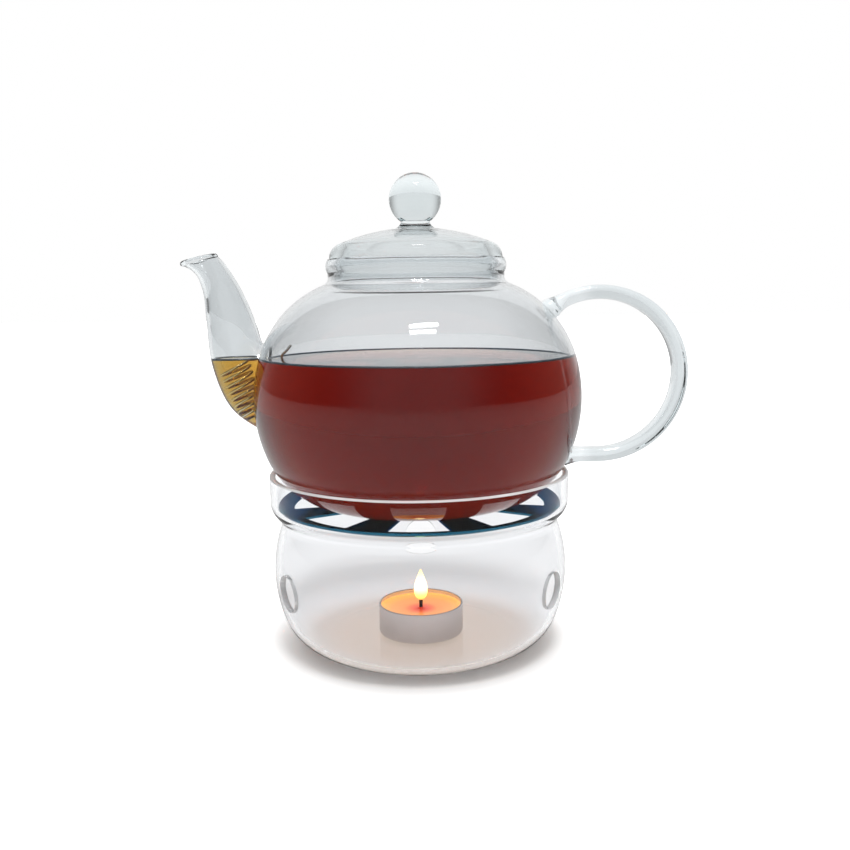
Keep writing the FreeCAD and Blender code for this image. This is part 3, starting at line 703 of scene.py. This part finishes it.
edge_radius, edge_bead = MENISCUS
edge = []
for cosine, sine in turns(MENISCUS_STEPS):
    edge.append(Vector((edge_radius * cosine, edge_radius * sine, TEA_LEVEL)))
meniscus = bead("meniscus", edge, edge_bead, MENISCUS_SIDES)
wear(smooth(meniscus), meniscus_painted_shade_look)
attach(meniscus, "teapot")

# The wall bends light less where tea wets it, so it is parted at the tea's level

shape = bmesh.new()
shape.from_mesh(teapot.data)
bmesh.ops.bisect_plane(shape, geom=shape.verts[:] + shape.edges[:] + shape.faces[:],
                       plane_co=(0, 0, TEA_LEVEL * MM), plane_no=(0, 0, 1))
shape.to_mesh(teapot.data)
shape.free()
wear(smooth(teapot), pot_glass)
tea_tree = BVHTree.FromPolygons([vertex.co for vertex in tea.data.vertices],
                                [face.vertices for face in tea.data.polygons])


def in_tea(face):
    """True where the glass touches the tea."""
    if face.center.z > TEA_LEVEL * MM:
        return False
    place, outward = tea_tree.find_nearest(face.center)[:2]
    return (face.center - place).dot(outward) < 0


marked(teapot, in_tea)
teapot.visible_shadow = False
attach(teapot, "teapot")
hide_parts("pot_body", "pot_shoulder", "spout", "handle")

# Warmer bowl


def vent_way(azimuth):
    """The direction from the axis to a vent."""
    turn = math.radians(azimuth)
    return Vector((math.cos(turn), math.sin(turn), 0))


def vent_rings(azimuth):
    """The two ends, in metres, of the rod that cuts a vent."""
    way = vent_way(azimuth)
    side = Vector((-way.y, way.x, 0))
    rings = []
    for reach in VENT_REACHES:
        ring = []
        for cosine, sine in turns(VENT_SIDES):
            height = Vector((0, 0, VENT_HEIGHT + VENT_RADIUS * sine))
            ring.append((way * reach + side * VENT_RADIUS * cosine + height) * MM)
        rings.append(ring)
    return rings


def at_edge(face):
    """True on the wall of a vent and on the collar's rim."""
    place = face.center / MM
    if place.z > COLLAR_TOP - RIM_DEPTH:
        return True
    from_axis = place - Vector((0, 0, VENT_HEIGHT))
    for azimuth in VENT_AZIMUTHS:
        way = vent_way(azimuth)
        along = from_axis.dot(way)
        if along > 0 and (from_axis - way * along).length < VENT_RADIUS + VENT_SLACK:
            return True
    return False


rim = (COLLAR[0] + COLLAR[2] - BOWL_WALL / 2, COLLAR_TOP - RIM_DROP, RIM_RADIUS)
bowl_profile = [(0, 0)] + bowl_side(0) + arc(rim, *RIM_ANGLES) + bowl_side(BOWL_WALL)[::-1] + [(0, BOWL_WALL)]
warmer = lathe("warmer_glass", bowl_profile)
for azimuth in VENT_AZIMUTHS:
    combine(warmer, tube("vent_cutter", vent_rings(azimuth)), "DIFFERENCE")
wear(smooth(warmer), warmer_glass)
marked(warmer, at_edge)
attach(warmer, "warmer")
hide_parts("warmer_bowl")

# Lid with its knob

crown_edge = math.degrees(math.acos(KNOB_FOOT / CROWN[2]))
lid_profile = (arc(KNOB_BALL, 90, KNOB_NECK_ANGLE)
               + arc(KNOB_FLARE, *KNOB_FLARE_ANGLES)
               + arc(CROWN, crown_edge, LID_CORNER_ANGLE)[1:]
               + arc(LID_CORNER, LID_CORNER_ANGLE, 0)[1:]
               + [(LID_RIM, POT_MOUTH), (SKIRT_OUTSIDE, POT_MOUTH), (SKIRT_OUTSIDE, SKIRT_FOOT),
                  (SKIRT_INSIDE, SKIRT_FOOT)]
               + arc(LID_HOLLOW, 0, LID_HOLLOW_ANGLE)
               + arc(inset(CROWN, LID_WALL), LID_HOLLOW_ANGLE, 90)[1:])
lid_profile[0] = (0, lid_profile[0][1])
lid_profile[-1] = (0, lid_profile[-1][1])
lid = lathe("lid_glass", lid_profile)
wear(smooth(lid), lid_glass)
marked(lid, lambda face: face.center.z > KNOB_FLARE[1] * MM)
lid.visible_shadow = False
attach(lid, "lid")
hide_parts("lid", "lid_knob")

# Strainer: one wire, wound along the spout's lower wall, with an open tail into the pot


def bore_edge(station):
    """The lowest point of the bore at a station, in the spout's middle plane."""
    reach, up, tilt, half_height = SPOUT_STATIONS[station][:4]
    tilt = math.radians(tilt)
    half = half_height - SPOUT_WALL
    return Vector((-reach - half * math.cos(tilt), 0, up - half * math.sin(tilt)))


def coil_points():
    """Centre line of the coil."""
    low = bore_edge(1)
    up = (bore_edge(2) - low).normalized()
    inward = Vector((up.z, 0, -up.x))
    across = Vector((0, 1, 0))
    foot = low + inward * (COIL_RADIUS + WIRE_RADIUS + COIL_CLEARANCE) + up * COIL_START
    points = []
    for step in range(COIL_TURNS * WIRE_STEPS + 1):
        gone = step / WIRE_STEPS
        angle = 2 * math.pi * gone
        out = inward * math.cos(angle) + across * math.sin(angle)
        points.append(foot + up * COIL_PITCH * gone + out * COIL_RADIUS)
    return points


def tail_points(start):
    """Centre line of the tail's open turn about +X, half a pitch on from the coil's end."""
    points = []
    for step in range(int(TAIL_TURNS * WIRE_STEPS) + 1):
        gone = step / WIRE_STEPS
        angle = 2 * math.pi * gone
        out = Vector((0, math.cos(angle), math.sin(angle))) * TAIL_RADIUS
        points.append(start + Vector((TAIL_PITCH * (0.5 + gone), 0, 0)) + out)
    return points


def bridge(start, start_way, end, end_way):
    """Points of a smooth curve between two points, ends left out."""
    pull = (end - start).length
    shares = [step / BRIDGE_STEPS for step in range(1, BRIDGE_STEPS)]
    return [eased(start, start_way * pull, end, end_way * pull, share) for share in shares]


coil = coil_points()
tail = tail_points(coil[-1])
tip = tail[-1] + Vector((TAIL_RADIUS, -TAIL_RADIUS / 2, TAIL_RADIUS))
coil_way = (coil[-1] - coil[-2]).normalized()
tail_way = (tail[1] - tail[0]).normalized()
last_way = (tail[-1] - tail[-2]).normalized()
tip_lean = math.radians(TAIL_LEAN)
tip_way = Vector((math.sin(tip_lean), 0, math.cos(tip_lean)))
wire_line = (coil + bridge(coil[-1], coil_way, tail[0], tail_way)
             + tail + bridge(tail[-1], last_way, tip, tip_way) + [tip])
strainer = tube("strainer_wire", wire_rings(wire_line, WIRE_RADIUS, WIRE_SIDES))
wear(smooth(strainer, WIRE_SHARP_ANGLE), wire_look)
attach(strainer, "strainer")
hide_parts("spout_strainer")

# The tea's edge in the spout, where its level cuts the bore, painted near black as painted shade

spout_edge = []
for column in zip(*spout_rings(SPOUT_WALL + edge_bead / 2, 0)):
    for lower, upper in zip(column, column[1:]):
        if lower.z <= TEA_LEVEL * MM < upper.z:
            share = (TEA_LEVEL * MM - lower.z) / (upper.z - lower.z)
            spout_edge.append(lower.lerp(upper, share) / MM)
            break
spout_meniscus = tube("spout_meniscus", wire_rings(spout_edge, edge_bead, MENISCUS_SIDES))
wear(smooth(spout_meniscus), meniscus_painted_shade_look)
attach(spout_meniscus, "teapot")

# The plate, the wick and its sustainer keep their solids

wear(nodes["support_plate"], plate_look)
wear(nodes["wick_sustainer"], tin_look)
wear(nodes["wick"], wick_look)

# Tealight: drawn cup with a rolled rim, and wax that has melted round the wick

cup_profile = ([(0, BOWL_WALL)] + arc(CUP_CORNER, -90, 0) + arc(CUP_ROLL, 0, CUP_ROLL_END)
               + [(CUP_INSIDE, CUP_THROAT), (CUP_INSIDE, CUP_INNER_CORNER[1])]
               + arc(CUP_INNER_CORNER, 0, -90) + [(0, CUP_FLOOR)])
cup = lathe("tealight_shell", cup_profile, TEALIGHT_SEGMENTS)
wear(smooth(cup), cup_look)
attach(cup, "tealight")
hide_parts("tealight_cup")

wax = lathe("tealight_fill", WAX_PROFILE, TEALIGHT_SEGMENTS)
wax_look, shader, tree = new_material("wax")
# The wax's emission is painted light from the flame
put(shader, {"Roughness": WAX_ROUGHNESS, "Emission Strength": WAX_PAINTED_GLOW})
put(shader, {"Subsurface Weight": WAX_DEPTH_WEIGHT, "Subsurface Radius": WAX_DEPTHS})
put(shader, {"Subsurface Scale": WAX_DEPTH_SCALE})
# The melt's colours also colour the painted glow
melt_and_painted_glow = coloured(tree, mapped(tree, distance_out(tree), 0.0, WAX_RADIUS, 0.0, 1.0), WAX_COLOURS)
tree.links.new(melt_and_painted_glow, shader.inputs["Base Color"])
tree.links.new(melt_and_painted_glow, shader.inputs["Emission Color"])
wear(smooth(wax, WAX_SHARP_ANGLE), wax_look)
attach(wax, "tealight")
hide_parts("tealight_wax")

# Flame

flame_profile = [(0, FLAME[0])]
for share in np.linspace(*FLAME_SHARES, FLAME_STEPS):
    swell = math.sin(math.pi * share ** FLAME_RISE) ** FLAME_ROUNDNESS
    flame_profile.append((FLAME_RADIUS * swell, FLAME[0] + (FLAME[1] - FLAME[0]) * share))
flame_profile.append((0, FLAME[1]))
flame = lathe("flame", flame_profile, FLAME_SEGMENTS)
flame_look, shader, tree = new_material("flame")
put(shader, {"Base Color": (0, 0, 0, 1), "Emission Strength": FLAME_GLOW})
heat = coloured(tree, place_parts(tree, "Generated")["Z"], FLAME_COLOURS)
tree.links.new(heat, shader.inputs["Emission Color"])
wear(smooth(flame), flame_look)
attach(flame, "tealight")
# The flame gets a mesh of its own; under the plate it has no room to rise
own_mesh(flame)

# Floor

bpy.ops.mesh.primitive_plane_add(size=FLOOR_SIZE, location=(0, 0, -FLOOR_DROP))
floor = bpy.context.object
floor.name = "floor"
floor_look, shader, tree = new_material("floor")
put(shader, {"Base Color": (*FLOOR_COLOUR, 1), "Roughness": FLOOR_ROUGHNESS, "Specular IOR Level": 0.0})
# Painted warm light from the flame, in the floor's emission
painted_warm_glow = coloured(tree, mapped(tree, distance_out(tree), *FLOOR_PAINTED_WARMTH), FLOOR_PAINTED_GLOWS)
tree.links.new(painted_warm_glow, shader.inputs["Emission Color"])
path = tree.nodes.new("ShaderNodeLightPath")
# Lower near the warmer: partly a painted shadow
lift_and_painted_shadow = mapped(tree, distance_out(tree), *FLOOR_LIFT_AND_PAINTED_SHADOW)
direct = reckoned(tree, "MULTIPLY", path.outputs["Is Camera Ray"], lift_and_painted_shadow)
# Brighter under the bowl: painted light
through_lift_and_painted_light = coloured(tree, distance_out(tree), THROUGH_LIFTS_AND_PAINTED_LIGHT)
through = reckoned(tree, "MULTIPLY", path.outputs["Is Transmission Ray"], through_lift_and_painted_light)
mirrored = reckoned(tree, "MULTIPLY", path.outputs["Is Glossy Ray"], MIRRORED_LIFT)
other = reckoned(tree, "MAXIMUM", through, mirrored)
tree.links.new(reckoned(tree, "MAXIMUM", direct, other), shader.inputs["Emission Strength"])
wear(floor, floor_look)

# World: white for the camera; as light, darker at both sides and at the front, which draws the glass's edges

world = bpy.data.worlds.new("studio")
bpy.context.scene.world = world
world.use_nodes = True
tree = world.node_tree
room = tree.nodes["Background"]
room.inputs["Color"].default_value = (*WHITE, 1)
seen = tree.nodes.new("ShaderNodeBackground")
put(seen, {"Color": (*WHITE, 1), "Strength": 1.0})
path = tree.nodes.new("ShaderNodeLightPath")
mix = tree.nodes.new("ShaderNodeMixShader")
tree.links.new(path.outputs["Is Camera Ray"], mix.inputs[0])
tree.links.new(room.outputs[0], mix.inputs[1])
tree.links.new(seen.outputs[0], mix.inputs[2])
tree.links.new(mix.outputs[0], tree.nodes["World Output"].inputs["Surface"])
direction = place_parts(tree, "Generated")
sides = mapped(tree, reckoned(tree, "ABSOLUTE", direction["X"]), *ROOM_SIDES)
front = mapped(tree, direction["Y"], *ROOM_FRONT)
ceiling = mapped(tree, direction["Z"], *ROOM_CEILING)
around = reckoned(tree, "MULTIPLY", sides, front)
tree.links.new(reckoned(tree, "MAXIMUM", around, ceiling), room.inputs["Strength"])

# Lamps and camera

for name, place in KEY_PLACES.items():
    lamp = bpy.data.lights.new(name, "AREA")
    lamp.energy = KEY_POWER
    lamp.shape = "RECTANGLE"
    lamp.size, lamp.size_y = KEY_SIZE
    holder = linked(name, lamp)
    holder.location = place
    holder.rotation_euler = (Vector(KEY_TARGET) - Vector(place)).to_track_quat("-Z", "Y").to_euler()

camera = bpy.data.cameras.new("camera")
camera.lens = CAMERA_LENS
camera.sensor_width = CAMERA_SENSOR
camera.clip_start = CAMERA_NEAR
camera_holder = linked("camera", camera)
camera_holder.location = CAMERA_PLACE
pitch = Matrix.Rotation(math.pi / 2 - CAMERA_DIP, 3, "X")
roll = Matrix.Rotation(CAMERA_ROLL, 3, "Z")
camera_holder.rotation_euler = (pitch @ roll).to_euler()
bpy.context.scene.camera = camera_holder

bpy.context.scene.view_settings.view_transform = "Standard"
bpy.context.scene.cycles.max_bounces = LIGHT_BOUNCES
bpy.context.scene.cycles.transmission_bounces = LIGHT_BOUNCES
bpy.context.scene.cycles.transparent_max_bounces = LIGHT_BOUNCES
